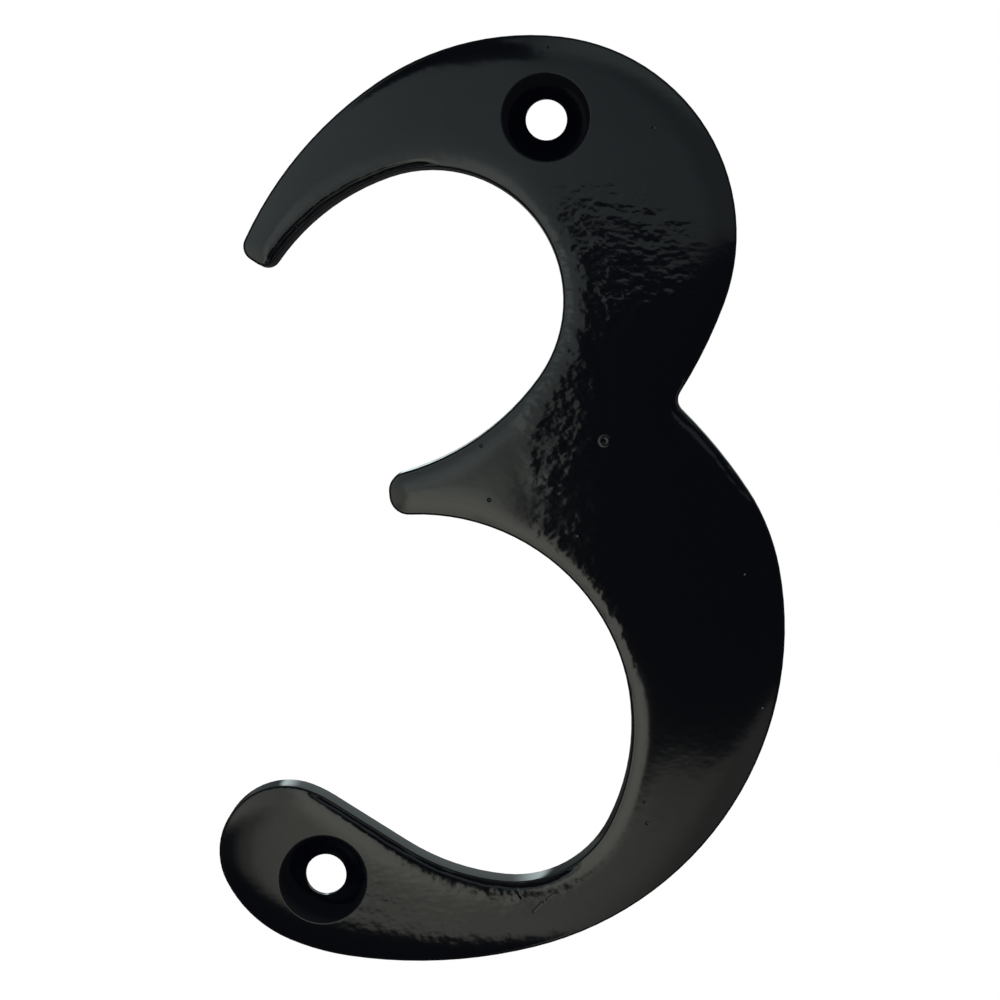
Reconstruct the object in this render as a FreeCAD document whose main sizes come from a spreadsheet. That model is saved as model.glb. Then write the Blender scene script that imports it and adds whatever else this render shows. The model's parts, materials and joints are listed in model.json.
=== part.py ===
"""Cast door number 3, screwed to a door through two countersunk holes.

One solid. X runs to the right and Z up as the number is read, the back lies on Y = 0 and the front face looks
towards -Y. The origin is the middle of the height and width, on the back. Lengths are in millimetres.
"""
import FreeCAD, Part
import math
import os
from collections import namedtuple

import Sketcher

doc = FreeCAD.newDocument("door_number")

# Driving dimensions
# The outline is a closed run of arcs and three short straights, each touching the next, travelled with the
# metal on the left. A bearing or a sweep is the angle at an arc's centre, in degrees. A slope is an angle to the
# horizontal, and a lean one to the vertical.
DIMENSIONS = {
    "thickness": 2.5,
    "draft_angle": 2.0,
    "face_edge_radius": 0.2,
    # upper bowl and the lobe round it
    "bowl_side_x": -5.75,
    "bowl_side_z": 16.4,
    "bowl_side_radius": 10.85,
    "upper_lobe_right": 8.8,
    "upper_lobe_up": 5.35,
    "upper_stroke": 14.1,
    # crown and hook
    "crown_bearing": 83.6,
    "crown_radius": 22.2,
    "crown_sweep": 40.6,
    "hook_back_radius": 31.45,
    "hook_back_sweep": 30.9,
    "hook_tip_radius": 1.25,
    "hook_end_slope": 32.8,
    "hook_end_flat": 0.7,
    "hook_heel_radius": 1.0,
    "hook_belly_radius": 18.65,
    # middle arm
    "arm_top_radius": 20.35,
    "arm_tip_x": -7.7,
    "arm_tip_z": 0.85,
    "arm_tip_radius": 1.5,
    "arm_end_lean": 5.8,
    "arm_end_flat": 0.4,
    "arm_heel_radius": 1.6,
    # lower bowl and the lobe round it
    "lower_bowl_x": -6.75,
    "lower_bowl_radius": 17.5,
    "lower_lobe_right": 2.8,
    "lower_lobe_up": 8.2,
    "lower_stroke": 12.45,
    # underside of the tail, from the lobe to the round end
    "keel_lead": 14.2,
    "keel_radius": 39.5,
    "keel_sweep": 22.4,
    "sole_radius": 20.05,
    "sole_sweep": 14.4,
    "bulb_heel_radius": 10.3,
    "bulb_heel_sweep": 40.1,
    "bulb_radius": 5.45,
    # top of the tail, from the round end back to the lower bowl
    "crest_radius": 10.6,
    "crest_sweep": 11.2,
    "neck_slope": 32.0,
    "neck_length": 7.15,
    "tail_top_radius": 18.7,
    "bowl_floor_radius": 8.75,
    # shoulder of the lower lobe, and the notch between the lobes
    "shoulder_bearing": 10.6,
    "shoulder_radius": 16.85,
    "shoulder_sweep": 22.7,
    "lower_flank_radius": 41.15,
    "notch_radius": 1.2,
    "upper_flank_bearing": -20.6,
    "upper_flank_radius": 39.5,
    # countersunk holes for 3 mm wood screws, from the centres of the upper lobe and the tail's round end
    "upper_hole_right": 0.6,
    "upper_hole_up": 9.5,
    "lower_hole_right": 3.11,
    "lower_hole_up": -2.275,
    "hole_diameter": 3.4,
    "countersink_diameter": 7.2,
    "countersink_angle": 90.0,
    "countersink_lip_radius": 0.15,
}

sheet = doc.addObject("Spreadsheet::Sheet", "Dimensions")
for row, (alias, number) in enumerate(DIMENSIONS.items(), start=1):
    sheet.set(f"A{row}", alias)
    sheet.set(f"B{row}", str(number))
    sheet.setAlias(f"B{row}", alias)
doc.recompute()


def size(alias):
    """A driving dimension's value, read back from the sheet."""
    return float(sheet.get(alias))


# Outline geometry
# A radius is positive where the outline swells and negative where it is hollow, so that the point of an arc
# with the outward normal n is always centre + radius * n.
Arc = namedtuple("Arc", "name centre radius")
Straight = namedtuple("Straight", "name begin finish heading")
LEFT = 1
RIGHT = -1


def direction(heading):
    """The unit vector along a heading in degrees."""
    return FreeCAD.Vector(math.cos(math.radians(heading)), math.sin(math.radians(heading)))


def outward(heading):
    """The outward normal of a straight: the metal is on its left."""
    ahead = direction(heading)
    return FreeCAD.Vector(ahead.y, -ahead.x)


def place(name):
    """A named point of the layout."""
    return FreeCAD.Vector(size(f"{name}_x"), size(f"{name}_z"))


def chained_arc(name, neighbour, bearing):
    """A swelling arc that touches a neighbour where the neighbour's centre sees it at a bearing."""
    radius = size(f"{name}_radius")
    return Arc(name, neighbour.centre + direction(bearing) * (neighbour.radius - radius), radius)


def crossing(first, reach_first, second, reach_second, side):
    """The point at two given reaches from first and second, on the LEFT or RIGHT of the way between them."""
    way = second - first
    along = (way.Length ** 2 + reach_first ** 2 - reach_second ** 2) / (2 * way.Length)
    across = math.sqrt(reach_first ** 2 - along ** 2)
    ahead = FreeCAD.Vector(way).normalize()
    left = FreeCAD.Vector(-ahead.y, ahead.x)
    return first + ahead * along + left * (side * across)


def hollow_between(name, before, after, side):
    """A hollow arc that touches the arcs before and after it."""
    radius = -size(f"{name}_radius")
    reaches = [abs(neighbour.radius - radius) for neighbour in (before, after)]
    return Arc(name, crossing(before.centre, reaches[0], after.centre, reaches[1], side), radius)


def end_flat(name, tip, heading):
    """The straight that leaves a tip's arc along a heading."""
    begin = tip.centre + outward(heading) * tip.radius
    return Straight(name, begin, begin + direction(heading) * size(f"{name}_flat"), heading)


def heel_arc(name, flat):
    """The arc that follows an end's flat."""
    radius = size(f"{name}_radius")
    return Arc(name, flat.finish - outward(flat.heading) * radius, radius)


def meeting(before, after):
    """The point where one piece of the outline runs into the next."""
    if isinstance(after, Straight):
        return after.begin
    if isinstance(before, Straight):
        return before.finish
    return before.centre + (after.centre - before.centre) * (before.radius / (before.radius - after.radius))


# Upper half: the bowl, its lobe, and the crown and hook that run on from the lobe
bowl_side = Arc("bowl_side", place("bowl_side"), -size("bowl_side_radius"))
upper_lobe_step = FreeCAD.Vector(size("upper_lobe_right"), size("upper_lobe_up"))
upper_lobe_radius = size("bowl_side_radius") + size("upper_stroke") - size("upper_lobe_right")
upper_lobe = Arc("upper_lobe", bowl_side.centre + upper_lobe_step, upper_lobe_radius)
crown = chained_arc("crown", upper_lobe, size("crown_bearing"))
hook_back_bearing = size("crown_bearing") + size("crown_sweep")
hook_back = chained_arc("hook_back", crown, hook_back_bearing)
hook_tip = chained_arc("hook_tip", hook_back, hook_back_bearing + size("hook_back_sweep"))
hook_end = end_flat("hook_end", hook_tip, -size("hook_end_slope"))
hook_heel = heel_arc("hook_heel", hook_end)
hook_belly = hollow_between("hook_belly", hook_heel, bowl_side, RIGHT)

# Middle arm, and the lower bowl that hangs from its heel
arm_tip = Arc("arm_tip", place("arm_tip"), size("arm_tip_radius"))
arm_top = hollow_between("arm_top", bowl_side, arm_tip, RIGHT)
arm_end = end_flat("arm_end", arm_tip, size("arm_end_lean") - 90)
arm_heel = heel_arc("arm_heel", arm_end)
lower_bowl_reach = size("lower_bowl_radius") + arm_heel.radius
lower_bowl_drop = math.sqrt(lower_bowl_reach ** 2 - (arm_heel.centre.x - size("lower_bowl_x")) ** 2)
lower_bowl_centre = FreeCAD.Vector(size("lower_bowl_x"), arm_heel.centre.y - lower_bowl_drop)
lower_bowl = Arc("lower_bowl", lower_bowl_centre, -size("lower_bowl_radius"))

# Lower lobe, and the tail round to its top
lower_lobe_step = FreeCAD.Vector(size("lower_lobe_right"), size("lower_lobe_up"))
lower_lobe_radius = size("lower_bowl_radius") + size("lower_stroke") - size("lower_lobe_right")
lower_lobe = Arc("lower_lobe", lower_bowl.centre + lower_lobe_step, lower_lobe_radius)
keel_bearing = size("keel_lead") - 90
keel = chained_arc("keel", lower_lobe, keel_bearing)
sole_bearing = keel_bearing - size("keel_sweep")
sole = chained_arc("sole", keel, sole_bearing)
bulb_heel_bearing = sole_bearing - size("sole_sweep")
bulb_heel = chained_arc("bulb_heel", sole, bulb_heel_bearing)
bulb = chained_arc("bulb", bulb_heel, bulb_heel_bearing - size("bulb_heel_sweep"))
neck_heading = 180 - size("neck_slope")
neck_side = outward(neck_heading)
crest = chained_arc("crest", bulb, neck_heading - 90 + size("crest_sweep"))
neck_finish = crest.centre + neck_side * crest.radius
neck_begin = neck_finish - direction(neck_heading) * size("neck_length")
neck = Straight("neck", neck_begin, neck_finish, neck_heading)
tail_top = Arc("tail_top", neck.begin + neck_side * size("tail_top_radius"), -size("tail_top_radius"))
bowl_floor = hollow_between("bowl_floor", lower_bowl, tail_top, RIGHT)

# Shoulder, flanks and notch
shoulder = chained_arc("shoulder", lower_lobe, size("shoulder_bearing"))
lower_flank = chained_arc("lower_flank", shoulder, size("shoulder_bearing") + size("shoulder_sweep"))
upper_flank = chained_arc("upper_flank", upper_lobe, size("upper_flank_bearing"))
notch = hollow_between("notch", lower_flank, upper_flank, RIGHT)

outline = [
    notch, upper_flank, upper_lobe, crown, hook_back, hook_tip, hook_end, hook_heel, hook_belly, bowl_side,
    arm_top, arm_tip, arm_end, arm_heel, lower_bowl, bowl_floor, tail_top, neck, crest, bulb, bulb_heel, sole,
    keel, lower_lobe, shoulder, lower_flank,
]


# Body and face outline sketch
body = doc.addObject("PartDesign::Body", "Numeral")
body.Label = "numeral"


def origin_plane(role):
    """One of the body's own origin planes."""
    return next(plane for plane in body.Origin.OriginFeatures if plane.Role == role)


def face_sketch(name):
    """A sketch in the plane of the front face, looked at from the front."""
    sketch = body.newObject("Sketcher::SketchObject", name)
    sketch.AttachmentSupport = (origin_plane("XZ_Plane"), [""])
    sketch.MapMode = "FlatFace"
    sketch.setExpression("AttachmentOffset.Base.z", "Dimensions.thickness")
    return sketch


def drive(sketch, label, rule, *constraint):
    """Adds a named constraint and binds it to a rule on the driving dimensions."""
    index = sketch.addConstraint(Sketcher.Constraint(*constraint))
    sketch.renameConstraint(index, label)
    sketch.setExpression(f"Constraints.{label}", rule)


START, END, CENTRE = 1, 2, 3
ORIGIN = (-1, START)
FIRST_EXTERNAL = -3
FLATNESS = 1e-6

face_outline = face_sketch("FaceOutline")
joints = [meeting(before, after) for before, after in zip(outline, outline[1:] + outline[:1])]
curves = {}
ends = {}
for piece, begin, finish in zip(outline, joints[-1:] + joints[:-1], joints):
    if isinstance(piece, Straight):
        curve = face_outline.addGeometry(Part.LineSegment(begin, finish))
        ends[piece.name] = (START, END)
    else:
        turns = (finish, begin) if piece.radius < 0 else (begin, finish)
        angles = [math.atan2(point.y - piece.centre.y, point.x - piece.centre.x) for point in turns]
        circle = Part.Circle(piece.centre, FreeCAD.Vector(0, 0, 1), abs(piece.radius))
        curve = face_outline.addGeometry(Part.ArcOfCircle(circle, *angles))
        ends[piece.name] = (END, START) if piece.radius < 0 else (START, END)
    curves[piece.name] = curve

for before, after in zip(outline, outline[1:] + outline[:1]):
    leaving = ends[before.name][1]
    entering = ends[after.name][0]
    tangent = Sketcher.Constraint("Tangent", curves[before.name], leaving, curves[after.name], entering)
    face_outline.addConstraint(tangent)

# Radii. A lobe's follows from its bowl, its step from the bowl's centre and the stroke between the two.
LOBE_RULES = {
    "upper_lobe": "Dimensions.bowl_side_radius + Dimensions.upper_stroke - Dimensions.upper_lobe_right",
    "lower_lobe": "Dimensions.lower_bowl_radius + Dimensions.lower_stroke - Dimensions.lower_lobe_right",
}
for piece in outline:
    if isinstance(piece, Arc):
        label = f"{piece.name}_radius"
        rule = LOBE_RULES.get(piece.name, f"Dimensions.{label}")
        drive(face_outline, label, rule, "Radius", curves[piece.name], abs(piece.radius))

# Sweeps of the chained arcs
for name in ("crown", "hook_back", "keel", "sole", "bulb_heel", "crest", "shoulder"):
    label = f"{name}_sweep"
    drive(face_outline, label, f"Dimensions.{label}", "Angle", curves[name], math.radians(size(label)))

# Bearings, each carried by a construction spoke from a lobe's centre to one of its ends
for label, lobe, end, bearing, rule in (
    ("crown_bearing", upper_lobe, END, size("crown_bearing"), "Dimensions.crown_bearing"),
    ("upper_flank_bearing", upper_lobe, START, size("upper_flank_bearing"), "Dimensions.upper_flank_bearing"),
    ("keel_bearing", lower_lobe, START, keel_bearing, "Dimensions.keel_lead - 90"),
    ("shoulder_bearing", lower_lobe, END, size("shoulder_bearing"), "Dimensions.shoulder_bearing"),
):
    reach = Part.LineSegment(lobe.centre, lobe.centre + direction(bearing) * lobe.radius)
    spoke = face_outline.addGeometry(reach, True)
    face_outline.addConstraint(Sketcher.Constraint("Coincident", spoke, START, curves[lobe.name], CENTRE))
    face_outline.addConstraint(Sketcher.Constraint("Coincident", spoke, END, curves[lobe.name], end))
    drive(face_outline, label, rule, "Angle", spoke, math.radians(bearing))

# Headings and lengths of the straights
for straight, label, rule in (
    (hook_end, "hook_end_flat", "-Dimensions.hook_end_slope"),
    (arm_end, "arm_end_flat", "Dimensions.arm_end_lean - 90"),
    (neck, "neck_length", "180 - Dimensions.neck_slope"),
):
    curve = curves[straight.name]
    drive(face_outline, f"{straight.name}_heading", rule, "Angle", curve, math.radians(straight.heading))
    drive(face_outline, label, f"Dimensions.{label}", "Distance", curve, size(label))

# Places of the centres
for label, axis, start, centre in (
    ("bowl_side_x", "DistanceX", ORIGIN, "bowl_side"),
    ("bowl_side_z", "DistanceY", ORIGIN, "bowl_side"),
    ("upper_lobe_right", "DistanceX", (curves["bowl_side"], CENTRE), "upper_lobe"),
    ("upper_lobe_up", "DistanceY", (curves["bowl_side"], CENTRE), "upper_lobe"),
    ("arm_tip_x", "DistanceX", ORIGIN, "arm_tip"),
    ("arm_tip_z", "DistanceY", ORIGIN, "arm_tip"),
    ("lower_bowl_x", "DistanceX", ORIGIN, "lower_bowl"),
    ("lower_lobe_right", "DistanceX", (curves["lower_bowl"], CENTRE), "lower_lobe"),
    ("lower_lobe_up", "DistanceY", (curves["lower_bowl"], CENTRE), "lower_lobe"),
):
    drive(face_outline, label, f"Dimensions.{label}", axis, *start, curves[centre], CENTRE, size(label))
doc.recompute()

# Cast blank: from the face back to the door, its walls spreading by the draft that lets it leave the mould
blank = body.newObject("PartDesign::Pad", "Blank")
blank.Profile = face_outline
blank.Reversed = True
blank.setExpression("Length", "Dimensions.thickness")
blank.setExpression("TaperAngle", "Dimensions.draft_angle")
doc.recompute()


def in_face_plane(edge):
    """True where a whole edge lies in the plane of the front face."""
    plane = -size("thickness")
    return all(abs(level - plane) < FLATNESS for level in (edge.BoundBox.YMin, edge.BoundBox.YMax))


def hole_lip(edge):
    """True for the full circle where a countersink opens in the face."""
    return in_face_plane(edge) and edge.isClosed()


def edge_names(shape, wanted):
    """The names of a shape's edges that pass a test."""
    return [f"Edge{number}" for number, edge in enumerate(shape.Edges, start=1) if wanted(edge)]


# Rounded rim of the face
face_edge = body.newObject("PartDesign::Fillet", "FaceEdge")
face_edge.Base = (blank, edge_names(blank.Shape, in_face_plane))
face_edge.setExpression("Radius", "Dimensions.face_edge_radius")
doc.recompute()

def outline_edge(arc):
    """The name of an arc's edge in the face outline."""
    centre = FreeCAD.Vector(arc.centre.x, -size("thickness"), arc.centre.y)

    def is_arc(edge):
        return isinstance(edge.Curve, Part.Circle) and edge.Curve.Center.isEqual(centre, FLATNESS)

    return edge_names(face_outline.Shape, is_arc)[0]


# Countersunk screw holes. Each keeps its place from the centre of the arc that it sits in, and so goes with the
# lobe or the tail.
hole_centres = face_sketch("HoleCentres")
rims = []
for name, carrier, carrier_centre in (
    ("upper_hole", upper_lobe, (FIRST_EXTERNAL, CENTRE)),
    ("lower_hole", bulb, (FIRST_EXTERNAL - 1, CENTRE)),
):
    hole_centres.addExternal(face_outline.Name, outline_edge(carrier))
    step = FreeCAD.Vector(size(f"{name}_right"), size(f"{name}_up"))
    rim = Part.Circle(carrier.centre + step, FreeCAD.Vector(0, 0, 1), size("hole_diameter") / 2)
    rims.append(hole_centres.addGeometry(rim))
    for label, axis in ((f"{name}_right", "DistanceX"), (f"{name}_up", "DistanceY")):
        drive(hole_centres, label, f"Dimensions.{label}", axis, *carrier_centre, rims[-1], CENTRE, size(label))
hole_centres.addConstraint(Sketcher.Constraint("Equal", *rims))
drive(hole_centres, "hole_diameter", "Dimensions.hole_diameter", "Diameter", rims[0], size("hole_diameter"))
doc.recompute()

holes = body.newObject("PartDesign::Hole", "ScrewHoles")
holes.Profile = hole_centres
doc.recompute()
holes.DepthType = "ThroughAll"
holes.HoleCutType = "Countersink"
holes.HoleCutCustomValues = True
holes.setExpression("Diameter", "Dimensions.hole_diameter")
holes.setExpression("HoleCutDiameter", "Dimensions.countersink_diameter")
holes.setExpression("HoleCutCountersinkAngle", "Dimensions.countersink_angle")
doc.recompute()

# Softened lips of the countersinks, as paint and dressing leave them
lips = body.newObject("PartDesign::Fillet", "CountersinkLips")
lips.Base = (holes, edge_names(holes.Shape, hole_lip))
lips.setExpression("Radius", "Dimensions.countersink_lip_radius")
doc.recompute()

# Checks and the solid handed on
failed = [item.Name for item in doc.Objects if {"Invalid", "Error"} & set(item.State)]
if failed:
    raise RuntimeError(f"these objects failed: {failed}")
numeral = body.Shape
if numeral.isNull() or not numeral.isValid() or len(numeral.Solids) != 1:
    raise RuntimeError("the numeral is not one sound solid")
if not face_outline.FullyConstrained or not hole_centres.FullyConstrained:
    raise RuntimeError("a sketch is not fully constrained")

os.makedirs("parts", exist_ok=True)
numeral.exportStep(f"parts/{body.Label}.step")
bounds = numeral.optimalBoundingBox(False)
extents = " x ".join(f"{extent:.2f}" for extent in (bounds.XLength, bounds.YLength, bounds.ZLength))
print(f"{body.Label}: {extents} mm, {numeral.Volume:.1f} mm3")
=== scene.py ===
"""Cast door number 3 in gloss black enamel, dressed over its solid and lit for its picture.

Lengths are in metres, in the solid's own frame: X to the right, Z up, and the face towards -Y.
"""
import json
import math

import bmesh
import bpy
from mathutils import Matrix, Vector, kdtree, noise


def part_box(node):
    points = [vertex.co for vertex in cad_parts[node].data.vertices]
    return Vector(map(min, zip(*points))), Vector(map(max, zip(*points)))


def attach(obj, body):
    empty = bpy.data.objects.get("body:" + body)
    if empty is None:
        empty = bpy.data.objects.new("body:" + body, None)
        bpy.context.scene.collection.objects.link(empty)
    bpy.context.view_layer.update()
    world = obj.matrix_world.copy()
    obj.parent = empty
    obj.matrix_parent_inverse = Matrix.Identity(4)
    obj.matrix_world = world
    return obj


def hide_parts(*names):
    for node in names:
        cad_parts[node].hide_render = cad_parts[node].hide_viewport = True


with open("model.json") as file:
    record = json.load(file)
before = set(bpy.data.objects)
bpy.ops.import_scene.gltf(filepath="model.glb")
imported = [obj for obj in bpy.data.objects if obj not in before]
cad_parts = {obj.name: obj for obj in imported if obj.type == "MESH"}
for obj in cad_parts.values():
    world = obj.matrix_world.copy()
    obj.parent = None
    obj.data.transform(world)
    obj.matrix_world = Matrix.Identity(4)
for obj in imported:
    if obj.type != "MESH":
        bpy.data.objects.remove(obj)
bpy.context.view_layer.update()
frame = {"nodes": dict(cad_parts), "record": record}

# Casting
# The number is one flat casting. Its face was dressed by hand before it was enamelled, so it falls away a little
# towards its outline, and more where the file slipped: inside the hook, along the tail, in the notch and below it.
MM = 0.001
MERGE = 0.001 * MM
FLAT_ANGLE = 0.001
RIM_STEPS = (0.06 * MM, 0.12 * MM, 0.18 * MM, 0.24 * MM)
GRID = 0.28 * MM
SMOOTH_BELOW = math.radians(30)
low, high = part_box("numeral")
FACE = low.y

bpy.ops.object.select_all(action="DESELECT")
casting = bpy.data.objects.new("numeral_casting", frame["nodes"]["numeral"].data.copy())
bpy.context.scene.collection.objects.link(casting)
casting.select_set(True)
bpy.context.view_layer.objects.active = casting
bpy.ops.object.mode_set(mode="EDIT")
bpy.ops.mesh.customdata_custom_splitnormals_clear()
bpy.ops.mesh.select_all(action="SELECT")
bpy.ops.mesh.remove_doubles(threshold=MERGE)


def in_face(polygon):
    """True for a polygon in the plane of the face."""
    return all(abs(corner.co.y - FACE) < MERGE for corner in polygon.verts)


# The face loses its long triangles. It gets four loops inside its rims, and then a square grid.
bpy.ops.mesh.select_all(action="DESELECT")
shell = bmesh.from_edit_mesh(casting.data)
for polygon in shell.faces:
    polygon.select_set(in_face(polygon))
bmesh.update_edit_mesh(casting.data)
bpy.ops.mesh.dissolve_limited(angle_limit=FLAT_ANGLE)
bpy.ops.mesh.hide(unselected=True)
for step in RIM_STEPS:
    bpy.ops.mesh.inset(thickness=step)
for axis, normal in ((0, (1, 0, 0)), (2, (0, 0, 1))):
    for cut in range(1, int((high[axis] - low[axis]) / GRID) + 1):
        cut_place = Vector()
        cut_place[axis] = low[axis] + cut * GRID
        bpy.ops.mesh.select_all(action="SELECT")
        bpy.ops.mesh.bisect(plane_co=cut_place, plane_no=normal)
bpy.ops.mesh.reveal(select=False)

# Outline of the face, as a line of its own with its corners smoothed, and then as points close together
SINK_REACH = 4.2 * MM
OUTLINE_CUTS = 19
OUTLINE_EASING = 0.5
OUTLINE_PASSES = 240
POINT_STEP = 0.03 * MM
sinks = [Vector(mount["pos_m"]) for mount in frame["record"]["mounts"] if mount["kind"] == "bore"]


def flat_distance(first, second):
    """The distance between two places as they are seen from the front."""
    return math.hypot(first.x - second.x, first.z - second.z)


def to_sink(point):
    """The distance from a place to the middle of the nearer sink."""
    return min(flat_distance(point, sink) for sink in sinks)


bpy.ops.mesh.select_mode(type="EDGE")
bpy.ops.mesh.select_all(action="DESELECT")
shell = bmesh.from_edit_mesh(casting.data)
for edge in shell.edges:
    sides = sum(in_face(polygon) for polygon in edge.link_faces)
    edge.select_set(sides == 1 and to_sink(edge.verts[0].co) > SINK_REACH)
bmesh.update_edit_mesh(casting.data)
bpy.ops.mesh.duplicate()
bpy.ops.mesh.separate(type="SELECTED")
bpy.ops.object.mode_set(mode="OBJECT")
line = next(piece for piece in bpy.context.selected_objects if piece != casting)
bpy.ops.object.select_all(action="DESELECT")
line.select_set(True)
bpy.context.view_layer.objects.active = line
bpy.ops.object.mode_set(mode="EDIT")
bpy.ops.mesh.select_all(action="SELECT")
bpy.ops.mesh.subdivide(number_cuts=OUTLINE_CUTS)
bpy.ops.mesh.vertices_smooth(factor=OUTLINE_EASING, repeat=OUTLINE_PASSES)
bpy.ops.object.mode_set(mode="OBJECT")
outline = []
for edge in line.data.edges:
    begin, end = (line.data.vertices[corner].co for corner in edge.vertices)
    steps = math.ceil((end - begin).length / POINT_STEP)
    outline += [begin.lerp(end, step / steps) for step in range(steps)]
rim = kdtree.KDTree(len(outline))
for number, point in enumerate(outline):
    rim.insert((point.x, 0, point.z), number)
rim.balance()
bpy.data.objects.remove(line)

# Fall of the face towards its outline
FALL_WIDTH = 3.2 * MM
FALL_DEPTH = 0.077 * MM
FALL_POWER = 3
FALL_REACH = 1.0 * MM
WAVE_LENGTH = 5.0 * MM
WAVE_HEIGHT = 0.006 * MM
# Edges that were filed less: the right of the upper bay and of the lower one, in millimetres
SPARED = (
    [(3.1, 22.8), (5.25, 15.9), (4.9, 13.6), (3.1, 9.7)],
    [(1.5, -2.2), (5.1, -4.9), (9.35, -11.5)],
)
SPARED_REACH = 4.0 * MM
SPARED_SHARE = 0.4
# Slips of the file: its path along the edge, and the width and depth of what it took, in millimetres
SLIPS = (
    ([(-18.3, 20.6), (-16.9, 22.4), (-13.4, 24.9), (-7.0, 27.4)], 0.32, 0.12),
    ([(-14.5, -23.2), (-8.0, -27.6), (-2.0, -30.6), (5.5, -31.2)], 0.50, 0.19),
    ([(14.4, 8.6), (15.3, 7.2)], 0.50, 0.09),
    ([(15.3, 7.2), (17.5, 4.6), (19.4, 1.2)], 0.80, 0.045),
)
SLIP_REACH = 1.6 * MM
SLIP_LEAST = 0.8
SLIP_ROUGHNESS = 0.4
SLIP_GRAIN = 0.9 * MM


def path_distance(point, path):
    """The distance from a place to a path across the face, given in millimetres."""
    nearest = []
    for (x0, z0), (x1, z1) in zip(path, path[1:]):
        begin = Vector((x0, 0, z0)) * MM
        way = Vector((x1 - x0, 0, z1 - z0)) * MM
        share = (Vector((point.x, 0, point.z)) - begin).dot(way) / way.length_squared
        nearest.append(flat_distance(point, begin + way * min(max(share, 0), 1)))
    return min(nearest)


def fall(point, away):
    """How far the face has fallen away at a place that lies at a distance from the outline."""
    if away > FALL_WIDTH:
        return 0
    near = max(0, 1 - (min(path_distance(point, path) for path in SPARED) / SPARED_REACH) ** 2)
    taken = 1 - SPARED_SHARE * near
    drop = FALL_DEPTH * taken * max(0, 1 - away / (FALL_WIDTH * taken)) ** FALL_POWER
    for path, width, depth in SLIPS:
        if away < width * MM:
            share = max(0, 1 - (path_distance(point, path) / SLIP_REACH) ** 2)
            rough = SLIP_LEAST + SLIP_ROUGHNESS * noise.noise(point / SLIP_GRAIN)
            drop += depth * MM * share * rough * (1 - away / (width * MM)) ** 2
    return drop


bpy.ops.object.select_all(action="DESELECT")
casting.select_set(True)
bpy.context.view_layer.objects.active = casting
for vert in casting.data.vertices:
    depth = vert.co.y - FACE
    if depth < FALL_REACH:
        away = rim.find((vert.co.x, 0, vert.co.z))[2]
        wave = WAVE_HEIGHT * (1 + noise.noise(vert.co / WAVE_LENGTH))
        vert.co.y += (fall(vert.co, away) + wave) * (1 - depth / FALL_REACH)
bpy.ops.object.shade_smooth_by_angle(angle=SMOOTH_BELOW)


# Enamel
# A thick gloss coat over the metal, black right through. It lies smooth over most of the face, and is rippled like
# orange peel right of both bays and faintly along the tail. A few specks and pinholes were baked in.
class Amount:
    """A number or vector that varies over a surface: one output of a node."""

    def __init__(self, finish, socket):
        self.finish = finish
        self.socket = socket

    def math(self, operation, first, second=0.0):
        return self.finish.add("ShaderNodeMath", {"operation": operation}, {0: first, 1: second})

    def __add__(self, other):
        return self.math("ADD", self, other)

    def __radd__(self, other):
        return self.math("ADD", other, self)

    def __sub__(self, other):
        return self.math("SUBTRACT", self, other)

    def __rsub__(self, other):
        return self.math("SUBTRACT", other, self)

    def __mul__(self, other):
        return self.math("MULTIPLY", self, other)

    def __rmul__(self, other):
        return self.math("MULTIPLY", other, self)

    def __truediv__(self, other):
        return self.math("DIVIDE", self, other)

    def at_least(self, other):
        return self.math("MAXIMUM", self, other)

    def at_most(self, other):
        return self.math("MINIMUM", self, other)

    def between(self, start, end):
        """0 up to start and 1 from end on, with a smooth change between them."""
        values = {"Value": self, "From Min": start, "From Max": end}
        return self.finish.add("ShaderNodeMapRange", {"interpolation_type": "SMOOTHSTEP"}, values)


class Finish:
    """A node tree that is written as expressions."""

    def __init__(self, tree):
        self.tree = tree
        self.tree.nodes.clear()

    def add(self, kind, settings=None, values=None, output=0):
        """Adds a node with its settings, fills its sockets with values or links, and returns one of its outputs."""
        node = self.tree.nodes.new(kind)
        for name, setting in (settings or {}).items():
            setattr(node, name, setting)
        for name, value in (values or {}).items():
            if isinstance(value, Amount):
                self.tree.links.new(value.socket, node.inputs[name])
            else:
                node.inputs[name].default_value = value
        return Amount(self, node.outputs[output] if node.outputs else None)

    def split(self, vector):
        """The three parts of a vector."""
        node = self.tree.nodes.new("ShaderNodeSeparateXYZ")
        self.tree.links.new(vector.socket, node.inputs[0])
        return [Amount(self, socket) for socket in node.outputs]


ENAMEL_BLACK = (0.0009, 0.0011, 0.0024, 1)
ENAMEL_ROUGHNESS = 0.06
ENAMEL_IOR = 1.5
FRONT_DEPTHS = (1.9, 2.1)

enamel_material = bpy.data.materials.new("gloss_black_enamel")
enamel_material.use_nodes = True
enamel = Finish(enamel_material.node_tree)
object_place = enamel.add("ShaderNodeTexCoord", output="Object")
millimetres = enamel.add("ShaderNodeVectorMath", {"operation": "SCALE"}, {0: object_place, "Scale": 1 / MM})
right, inward, upward = enamel.split(millimetres)
on_front = (0 - inward).between(*FRONT_DEPTHS)


def patch(x, z, reach_x, reach_z, soft=0.5):
    """1 inside an oval patch of the face and 0 outside it, with a soft edge. Its sizes are in millimetres."""
    away_x = (right - x) / reach_x
    away_z = (upward - z) / reach_z
    return (away_x * away_x + away_z * away_z).between(1.0, 1.0 - soft) * on_front


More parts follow.
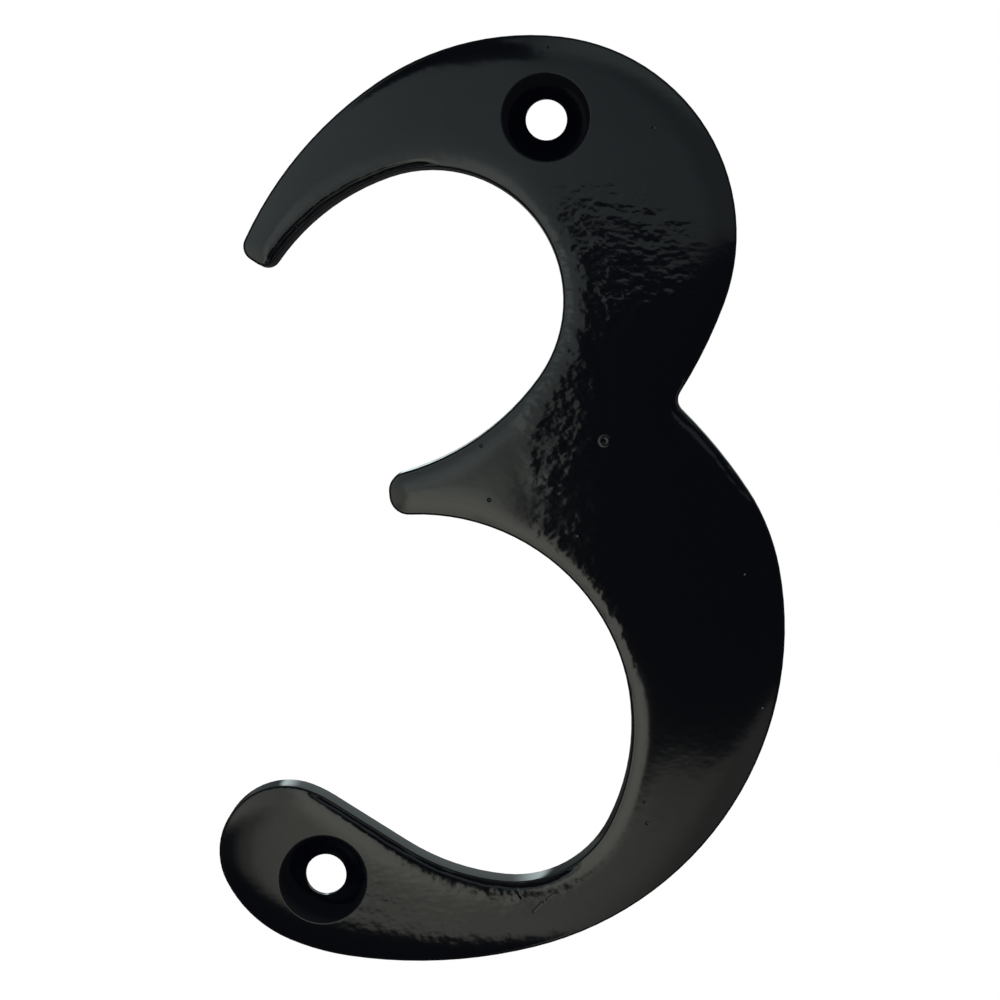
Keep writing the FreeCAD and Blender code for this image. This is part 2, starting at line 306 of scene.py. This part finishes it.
# Orange peel, fine all over and coarse in four patches: right of the upper bay, at the root of the arm, right of the
# lower bay and along the tail. Each has its middle, its reach across and upwards, in millimetres, and its share.
PEEL_FINE = 0.002
PEEL_COARSE = 0.018
PEEL_STRETCH = (0.85, 1.0, 1.2)
PEEL_GRAIN = {"Scale": 1.05, "Detail": 1.6, "Roughness": 0.5}
PEEL_SOFT = 0.8
PEEL_PATCHES = (
    (8.8, 19.6, 8.5, 8.0, 1.0),
    (4.6, 8.0, 4.2, 10.0, 0.9),
    (6.5, -10.0, 6.5, 14.0, 0.7),
    (-4.0, -32.5, 14.0, 6.0, 0.45),
)
SPREAD_GRAIN = {"Scale": 0.33, "Detail": 1.0}
SPREAD_LEAST = 0.35
SPREAD_SHARE = 1.3

stretched = enamel.add("ShaderNodeVectorMath", {"operation": "MULTIPLY"}, {0: millimetres, 1: PEEL_STRETCH})
peel = enamel.add("ShaderNodeTexNoise", None, {"Vector": stretched, **PEEL_GRAIN})
spread = enamel.add("ShaderNodeTexNoise", None, {"Vector": millimetres, **SPREAD_GRAIN})
rippled = 0.0
for x, z, reach_x, reach_z, share in PEEL_PATCHES:
    rippled = (patch(x, z, reach_x, reach_z, PEEL_SOFT) * share).at_least(rippled)
height = peel * (PEEL_FINE + rippled * (SPREAD_LEAST + spread * SPREAD_SHARE) * PEEL_COARSE)

# Pinholes, each with its place, reach and depth in millimetres, and a blister that burst and left a ring
PINHOLES = (
    (-1.62, 4.51, 0.16, 0.02),
    (-0.97, 0.09, 0.20, 0.05),
    (5.58, 12.28, 0.15, 0.04),
    (11.96, -26.43, 0.18, 0.01),
    (11.72, -24.71, 0.14, 0.015),
    (3.86, 36.92, 0.12, 0.04),
    (-16.76, 22.43, 0.25, 0.06),
    (12.4, 30.3, 0.20, 0.01),
)
PINHOLE_SOFT = 1.0
BLISTER = (8.45, 4.92)
RING_OUTER = 0.55
RING_OUTER_SOFT = 0.6
RING_INNER = 0.32
RING_INNER_SOFT = 0.9
RING_HEIGHT = 0.014

for x, z, reach, depth in PINHOLES:
    height = height - patch(x, z, reach, reach, PINHOLE_SOFT) * depth
ring = patch(*BLISTER, RING_OUTER, RING_OUTER, RING_OUTER_SOFT)
ring = ring - patch(*BLISTER, RING_INNER, RING_INNER, RING_INNER_SOFT)
height = height + ring * RING_HEIGHT

# Scratches low in the tail, where the coat was knocked before it was hard: ends, reach and depth in millimetres
SCRATCHES = (
    (2.65, -33.75, 3.35, -33.05, 0.14, 0.012),
    (3.75, -32.75, 4.35, -32.3, 0.13, 0.01),
    (0.95, -31.5, 1.65, -32.6, 0.20, 0.008),
)


def scratch(x0, z0, x1, z1, reach):
    """1 along a straight scratch and 0 beyond its reach. All sizes are in millimetres."""
    share = ((right - x0) * (x1 - x0) + (upward - z0) * (z1 - z0)) / ((x1 - x0) ** 2 + (z1 - z0) ** 2)
    share = share.at_least(0.0).at_most(1.0)
    away_x = (right - x0 - share * (x1 - x0)) / reach
    away_z = (upward - z0 - share * (z1 - z0)) / reach
    return (away_x * away_x + away_z * away_z).between(1.0, 0.0) * on_front


for x0, z0, x1, z1, reach, depth in SCRATCHES:
    height = height - scratch(x0, z0, x1, z1, reach) * depth

# Specks of dust in the coat
SPECKS = ((6.24, -2.86), (19.90, -5.97), (21.38, -16.94))
SPECK_REACH = 0.09
SPECK_GREY = (0.06, 0.06, 0.06, 1)

speckled = 0.0
for x, z in SPECKS:
    speckled = patch(x, z, SPECK_REACH, SPECK_REACH).at_least(speckled)

colours = {0: speckled, 6: ENAMEL_BLACK, 7: SPECK_GREY}
colour = enamel.add("ShaderNodeMix", {"data_type": "RGBA"}, colours, output=2)
bump = enamel.add("ShaderNodeBump", None, {"Height": height, "Distance": MM}, "Normal")
surface = enamel.add(
    "ShaderNodeBsdfPrincipled",
    None,
    {"Base Color": colour, "Roughness": ENAMEL_ROUGHNESS, "IOR": ENAMEL_IOR, "Normal": bump},
)
enamel.add("ShaderNodeOutputMaterial", None, {"Surface": surface})

casting.data.materials.clear()
casting.data.materials.append(enamel_material)
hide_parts("numeral")
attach(casting, "root")

# Floor
# A plain white floor below the number and behind it. The gloss of the enamel sees it as dim as the room.
FLOOR_LEVEL = -0.25
FLOOR_FRONT = -0.02
FLOOR_SIZE = 12.0
FLOOR_WHITE = 0.8
FLOOR_MIRRORED = 0.035

bpy.ops.object.select_all(action="DESELECT")
bpy.ops.mesh.primitive_plane_add(size=FLOOR_SIZE, location=(0, FLOOR_FRONT + FLOOR_SIZE / 2, FLOOR_LEVEL))
floor = bpy.context.object
floor.name = "floor"
floor_material = bpy.data.materials.new("white_floor")
floor_material.use_nodes = True
matt = Finish(floor_material.node_tree)
seen_in_gloss = matt.add("ShaderNodeLightPath", output="Is Glossy Ray")
lit = matt.add("ShaderNodeBsdfDiffuse", None, {"Color": (FLOOR_WHITE, FLOOR_WHITE, FLOOR_WHITE, 1)})
lift = matt.add("ShaderNodeEmission", None, {"Strength": 1 - FLOOR_WHITE})
both = matt.add("ShaderNodeAddShader", None, {0: lit, 1: lift})
dim = matt.add("ShaderNodeEmission", None, {"Strength": FLOOR_MIRRORED})
floor_shader = matt.add("ShaderNodeMixShader", None, {0: seen_in_gloss, 1: both, 2: dim})
matt.add("ShaderNodeOutputMaterial", None, {"Surface": floor_shader})
floor.data.materials.append(floor_material)

# Studio
# White all round, for the background and for matt surfaces. The gloss of the enamel sees more: a pale panel in
# front, brightest low at its left, with a dark card and a dark bar hung on it, and a dim room beyond its edges.
FORWARD_LEAST = 0.05

world = bpy.data.worlds.new("studio")
bpy.context.scene.world = world
world.use_nodes = True
studio = Finish(world.node_tree)
ray = studio.add("ShaderNodeTexCoord", output="Generated")
across, ahead, up = studio.split(ray)
# Places on the panel are tangents of the angles to the right and upwards from straight ahead
to_panel = 0 - ahead
u = across / to_panel.at_least(FORWARD_LEAST)
v = up / to_panel.at_least(FORWARD_LEAST)
downward = 0 - v


def past(amount, place, soft):
    """0 before a place and 1 past it, with a soft change over it."""
    return (amount - place).between(-soft, soft)


def glow(centre_u, centre_v, reach_u, reach_v):
    """A soft round glow on the panel."""
    away_u = (u - centre_u) / reach_u
    away_v = (v - centre_v) / reach_v
    return (away_u * away_u + away_v * away_v).between(1.0, 0.0)


# Light of the panel. It falls to the right and upwards, and has two glows: middle, reach and strength of each.
PANEL_LIGHT = 0.50
FALL_RIGHT = 2.0
FALL_UP = 1.2
PANEL_DIMMEST = 0.25
PANEL_BRIGHTEST = 1.2
GLOWS = (
    (-0.08, -0.14, 0.065, 0.11, 0.8),
    (-0.115, -0.03, 0.045, 0.09, 0.5),
)
brightness = PANEL_LIGHT - u * FALL_RIGHT - v * FALL_UP
brightness = brightness.at_least(PANEL_DIMMEST).at_most(PANEL_BRIGHTEST)
for centre_u, centre_v, reach_u, reach_v, strength in GLOWS:
    brightness = brightness + glow(centre_u, centre_v, reach_u, reach_v) * strength

# The panel is lifted at its top right, fades in two steps towards its low left side, and is dimmer low at its right
TOP_LIFT = 0.32
LEFT_SIDE = -0.14
LEFT_FADES = (0.55, 0.42)
RIGHT_DIMMING = 0.6
RIGHT_LEAST = 0.34
brightness = brightness + v.between(0.15, 0.22) * u.between(-0.05, 0.0) * TOP_LIFT
leftward = LEFT_SIDE - u
left_fade = leftward.between(0.0, 0.045) * LEFT_FADES[0] + leftward.between(0.03, 0.12) * LEFT_FADES[1]
brightness = brightness * (1 - left_fade * downward.between(0.12, 0.19))
brightness = brightness * (1 - u.between(-0.03, 0.16) * downward.between(0.08, 0.19) * RIGHT_DIMMING)
brightness = brightness.at_least(downward.between(0.05, 0.12) * u.between(-0.1, 0.0) * RIGHT_LEAST)

# It is a little cloudy all over
CLOUD_GRAIN = {"Scale": 120.0, "Detail": 3.0}
CLOUD_LEAST = 0.70
CLOUD_SHARE = 0.60
clouds = studio.add("ShaderNodeTexNoise", None, {"Vector": ray, **CLOUD_GRAIN})
brightness = brightness * (CLOUD_LEAST + clouds * CLOUD_SHARE)

# Shape of the panel: a rectangle with its low left corner cut off
PANEL_LEFT = -0.34
PANEL_RIGHT = 0.22
PANEL_BOTTOM = -0.42
PANEL_TOP = 0.29
PANEL_SOFT = 0.02
CUT_START = -0.11
CUT_LEVEL = -0.265
CUT_SLOPE = 1.03
CUT_SOFT = (-0.012, 0.026)
panel = past(u, PANEL_LEFT, PANEL_SOFT) * past(PANEL_RIGHT, u, PANEL_SOFT)
panel = panel * past(v, PANEL_BOTTOM, PANEL_SOFT) * past(PANEL_TOP, v, PANEL_SOFT)
corner = (CUT_LEVEL - (u - CUT_START) * CUT_SLOPE).at_most(CUT_LEVEL)
panel = panel * (v - corner).between(*CUT_SOFT)

# Dark bar near the top of the panel, which slants upwards to the left
BAR_SOFT = 0.004
BAR_LEFT = -0.20
BAR_LEFT_SOFT = 0.02
BAR_RIGHT = -0.031
BAR_FOOT_LIMITS = (0.153, 0.204)
BAR_HEAD_LIMIT = 0.248
BAR_HEAD_TURN = -0.0585
bar_foot = (0.103 - u * 0.85).at_least(BAR_FOOT_LIMITS[0]).at_most(BAR_FOOT_LIMITS[1])
bar_head = (0.092 - u * 3.5).at_most(BAR_HEAD_LIMIT) + (BAR_HEAD_TURN - u).at_least(0.0) * 3.0
bar = past(v, bar_foot, BAR_SOFT) * past(bar_head, v, BAR_SOFT)
bar = bar * past(BAR_RIGHT, u, BAR_SOFT) * past(u, BAR_LEFT, BAR_LEFT_SOFT)

# Dark card in the middle of the panel, wide to the right, with a slanting top and left side
CARD_TOP_LEAST = 0.0465
CARD_TOP_SOFT = 0.005
CARD_BOTTOM = -0.184
CARD_BOTTOM_SOFT = 0.007
CARD_SIDE_LIMITS = (-0.05, -0.03)
CARD_SIDE_SOFT = 0.006
card_top = (0.0557 - u * 0.41).at_least(0.0537 - u * 0.18).at_least(CARD_TOP_LEAST)
card_side = (v * 0.2 - 0.028).at_least(CARD_SIDE_LIMITS[0]).at_most(CARD_SIDE_LIMITS[1])
card = past(card_top, v, CARD_TOP_SOFT) * past(v, CARD_BOTTOM, CARD_BOTTOM_SOFT)
card = card * past(u, card_side, CARD_SIDE_SOFT)
lit_panel = panel * (1 - bar) * (1 - card) * brightness

# The room beyond the panel, and what the side walls of the number see behind it
ROOM = 0.04
ROOM_WIDE = 0.12
BEHIND_LEAST = 0.06
BEHIND_SLANT = 0.3
BEHIND_UP = 0.22
BEHIND_GLOW = 1.2
wide = (u * u + v * v).between(0.6, 1.5) * to_panel.between(0.25, 0.5) * ROOM_WIDE
not_far_left = (across + 0.20).between(0.0, 0.05)
wall_light = BEHIND_LEAST + (1 - ahead).between(0.1, 0.5) * BEHIND_SLANT
wall_light = wall_light + up.between(-0.05, 0.10) * not_far_left * BEHIND_UP
behind = ahead.between(0.15, 0.5) * wall_light
back_glow = ahead.between(0.8, 0.95) * (0 - across).between(0.02, 0.16) * up.between(0.0, 0.1)
behind = behind + back_glow * not_far_left * BEHIND_GLOW

# The light is cool above and warm below
COOL = (0.86, 1.00, 1.00, 1)
WARM = (0.98, 1.00, 0.86, 1)
COOL_LEVELS = (-0.15, 0.10)
tints = {0: v.between(*COOL_LEVELS), 6: WARM, 7: COOL}
tint = studio.add("ShaderNodeMix", {"data_type": "RGBA"}, tints, output=2)
mirrored = studio.add("ShaderNodeBackground", None, {"Color": tint, "Strength": lit_panel + wide + behind + ROOM})
plain = studio.add("ShaderNodeBackground", None, {"Color": (1, 1, 1, 1)})
seen_in_gloss = studio.add("ShaderNodeLightPath", output="Is Glossy Ray")
light = studio.add("ShaderNodeMixShader", None, {0: seen_in_gloss, 1: plain, 2: mirrored})
studio.add("ShaderNodeOutputWorld", None, {"Surface": light})

# Camera
# In front of the number, a little above and to the right of its middle.
CAMERA_PLACE = Vector((9.7, -187.5, 12.3)) * MM
CAMERA_TURN = math.radians(1.007)
CAMERA_DIP = math.radians(1.754)
LENS_LENGTH = 81.705
SENSOR_WIDTH = 36
FRAME_SHIFT = -0.08
NEAREST_SEEN = 0.01

lens = bpy.data.cameras.new("camera")
lens.lens = LENS_LENGTH
lens.sensor_width = SENSOR_WIDTH
lens.shift_x = FRAME_SHIFT
lens.shift_y = FRAME_SHIFT
lens.clip_start = NEAREST_SEEN
camera = bpy.data.objects.new("camera", lens)
camera.location = CAMERA_PLACE
camera.rotation_euler = (math.radians(90) - CAMERA_DIP, 0, CAMERA_TURN)
bpy.context.scene.collection.objects.link(camera)
bpy.context.scene.camera = camera
bpy.context.scene.view_settings.view_transform = "Standard"
